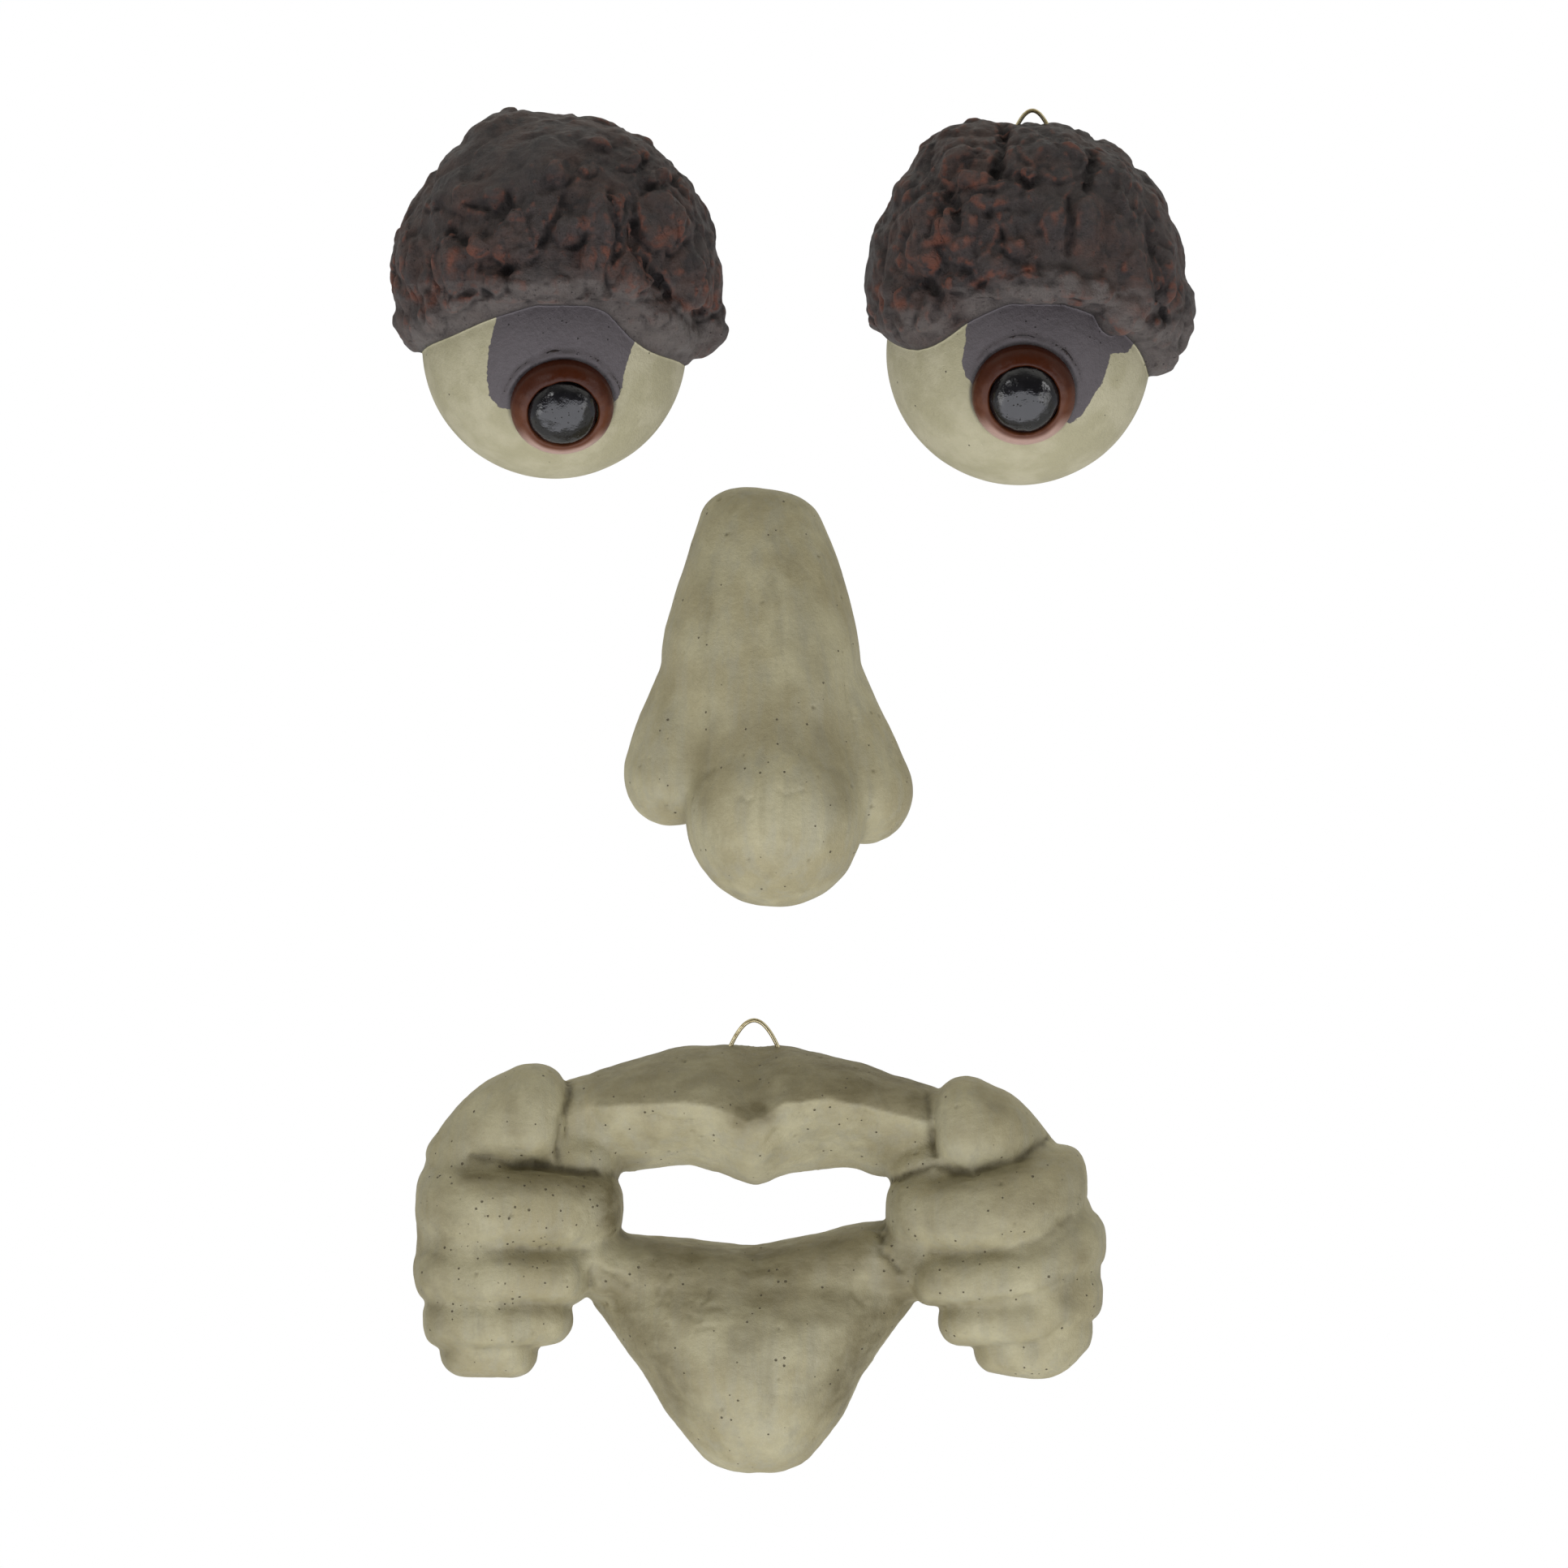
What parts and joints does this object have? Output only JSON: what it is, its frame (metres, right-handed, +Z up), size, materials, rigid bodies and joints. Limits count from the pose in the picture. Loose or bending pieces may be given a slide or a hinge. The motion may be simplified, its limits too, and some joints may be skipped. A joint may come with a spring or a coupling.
{
  "type": "tree face sculpture",
  "caption": "Comic face for a tree trunk: bulging eyes under bark brows, a long nose and a mouth that two fists pull wide open, painted castings with wire loops to hang by.",
  "frame": {"origin": "middle of the nose's flat back, on the surface that the face hangs on", "axes": "+X to the right as seen by someone who looks at the face, +Y into the trunk behind it, +Z up"},
  "size_m": [0.249, 0.0476, 0.4234],
  "materials": {
    "bark_and_eye_paint": "cast resin, painted: dark brown bark, sage eyeball, grey violet lid, gloss brown iris, gloss black pupil",
    "sage_resin": "cast resin, matt sage paint with an umber wash in its creases",
    "brass_wire": "bright drawn wire"
  },
  "bodies": {
    "root": {"left_eye": "bark_and_eye_paint", "right_eye": "bark_and_eye_paint", "nose": "sage_resin", "mouth": "sage_resin", "right_eye_hanger": "brass_wire", "mouth_hanger": "brass_wire"}
  },
  "joints": []
}
